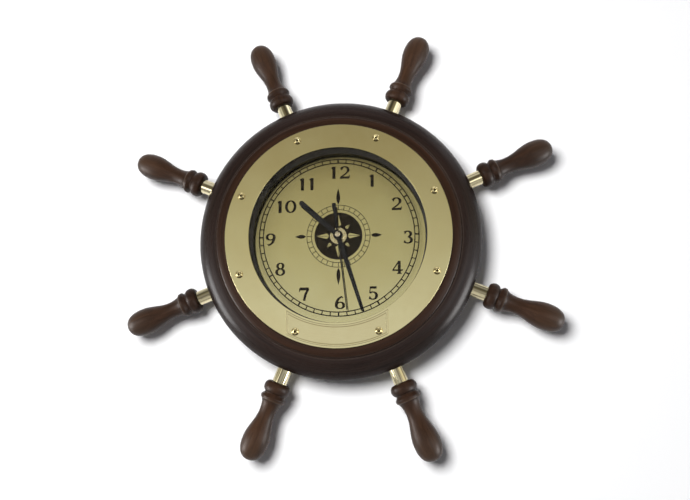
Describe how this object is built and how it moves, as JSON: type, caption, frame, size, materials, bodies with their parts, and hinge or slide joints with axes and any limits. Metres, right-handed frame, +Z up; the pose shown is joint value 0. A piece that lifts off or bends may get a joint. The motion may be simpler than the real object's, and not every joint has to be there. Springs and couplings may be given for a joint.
{
  "type": "ship's wheel wall clock",
  "caption": "Wall clock in the form of a ship's wheel: turned wooden rim, handles on brass tubes, a screwed brass bezel, and a brass dial whose hands turn together.",
  "frame": {"origin": "the wheel's axis on the wall plane that the clock hangs against", "axes": "+Z up to twelve o'clock, +X to three o'clock, the dial faces -Y and +Y goes into the wall"},
  "size_m": [0.3862, 0.0471, 0.3862],
  "materials": {
    "rim_wood": "dark walnut stain under satin lacquer, turned",
    "handle_wood": "walnut stain under satin lacquer, turned, grain along the handle",
    "tube_brass": "polished tube",
    "screw_brass": "polished round head",
    "bezel_brass": "satin polished flat sheet with a bright bevelled edge",
    "plaque_brass": "satin sheet, bare, with a fine engraved border",
    "clear_glass": "clear flat pane",
    "dark_wall": "dark satin wall",
    "dial_brass": "brushed satin sheet with dark printed track and numbers",
    "plywood": "plain board",
    "hand_black": "satin black paint on thin sheet",
    "nut_brass": "machined",
    "black_rubber": "matt",
    "case_plastic": "moulded black, fine matt grain",
    "gear_plastic": "moulded white acetal",
    "motor_steel": "bare sheet",
    "coil_copper": "enamelled copper winding",
    "circuit_green": "resin board",
    "cell_wrap": "plain printed sleeve",
    "contact_steel": "nickel plated strip",
    "knob_plastic": "moulded, ribbed",
    "hanger_steel": "zinc plated strip"
  },
  "bodies": {
    "clock_body": {"handle_1": "handle_wood", "handle_2": "handle_wood", "handle_3": "handle_wood", "handle_4": "handle_wood", "handle_5": "handle_wood", "handle_6": "handle_wood", "handle_7": "handle_wood", "handle_8": "handle_wood", "spoke_tube_1": "tube_brass", "spoke_tube_2": "tube_brass", "spoke_tube_3": "tube_brass", "spoke_tube_4": "tube_brass", "spoke_tube_5": "tube_brass", "spoke_tube_6": "tube_brass", "spoke_tube_7": "tube_brass", "spoke_tube_8": "tube_brass", "bezel_screw_1": "screw_brass", "bezel_screw_2": "screw_brass", "bezel_screw_3": "screw_brass", "bezel_screw_4": "screw_brass", "bezel_screw_5": "screw_brass", "bezel_screw_6": "screw_brass", "bezel_screw_7": "screw_brass", "bezel_screw_8": "screw_brass", "wheel_rim": "rim_wood", "bezel_ring": "bezel_brass", "plaque_plate": "plaque_brass", "glass": "clear_glass", "spacer_ring": "dark_wall", "dial_plate": "dial_brass", "dial_backboard": "plywood", "dial_washer": "nut_brass", "mounting_nut": "nut_brass", "movement_gasket": "black_rubber", "movement_case": "case_plastic", "movement_cover": "case_plastic", "train_bridge": "gear_plastic", "stator": "motor_steel", "coil": "coil_copper", "circuit_board": "circuit_green", "battery": "cell_wrap", "contact_positive": "contact_steel", "contact_negative": "contact_steel", "hanger_plate": "hanger_steel", "hanger_screw_left": "hanger_steel", "hanger_screw_right": "hanger_steel"},
    "minute": {"minute_hand": "hand_black", "centre_wheel": "gear_plastic"},
    "hour": {"hour_hand": "hand_black", "hour_wheel": "gear_plastic"},
    "second": {"second_hand": "hand_black", "second_wheel": "gear_plastic"},
    "third": {"third_wheel": "gear_plastic"},
    "setting": {"minute_wheel": "gear_plastic", "set_knob": "knob_plastic"},
    "intermediate": {"intermediate_wheel": "gear_plastic"},
    "motor_rotor": {"rotor": "motor_steel"}
  },
  "joints": [
    {"name": "minute_turn", "type": "hinge", "parent": "clock_body", "child": "minute", "pos_m": [0, -0.02, 0], "axis": [0, 1, 0], "continuous": true},
    {"name": "hour_turn", "type": "hinge", "parent": "clock_body", "child": "hour", "pos_m": [0, -0.02, 0], "axis": [0, 1, 0], "continuous": true},
    {"name": "second_turn", "type": "hinge", "parent": "clock_body", "child": "second", "pos_m": [0, -0.02, 0], "axis": [0, 1, 0], "continuous": true},
    {"name": "third_turn", "type": "hinge", "parent": "clock_body", "child": "third", "pos_m": [-0.00782, -0.02, -0.0021], "axis": [0, 1, 0], "continuous": true},
    {"name": "setting_turn", "type": "hinge", "parent": "clock_body", "child": "setting", "pos_m": [0.00839, -0.02, -0.00225], "axis": [0, 1, 0], "continuous": true},
    {"name": "intermediate_turn", "type": "hinge", "parent": "clock_body", "child": "intermediate", "pos_m": [0.00214, -0.02, 0.008], "axis": [0, 1, 0], "continuous": true},
    {"name": "rotor_turn", "type": "hinge", "parent": "clock_body", "child": "motor_rotor", "pos_m": [0.00356, -0.02, 0.01328], "axis": [0, 1, 0], "continuous": true}
  ],
  "couplings": [
    {"joint": "hour_turn", "follows": "minute_turn", "ratio": 0.083333},
    {"joint": "second_turn", "follows": "minute_turn", "ratio": 60},
    {"joint": "third_turn", "follows": "minute_turn", "ratio": -8},
    {"joint": "setting_turn", "follows": "minute_turn", "ratio": -0.33333},
    {"joint": "intermediate_turn", "follows": "minute_turn", "ratio": -300},
    {"joint": "rotor_turn", "follows": "minute_turn", "ratio": 1800}
  ]
}
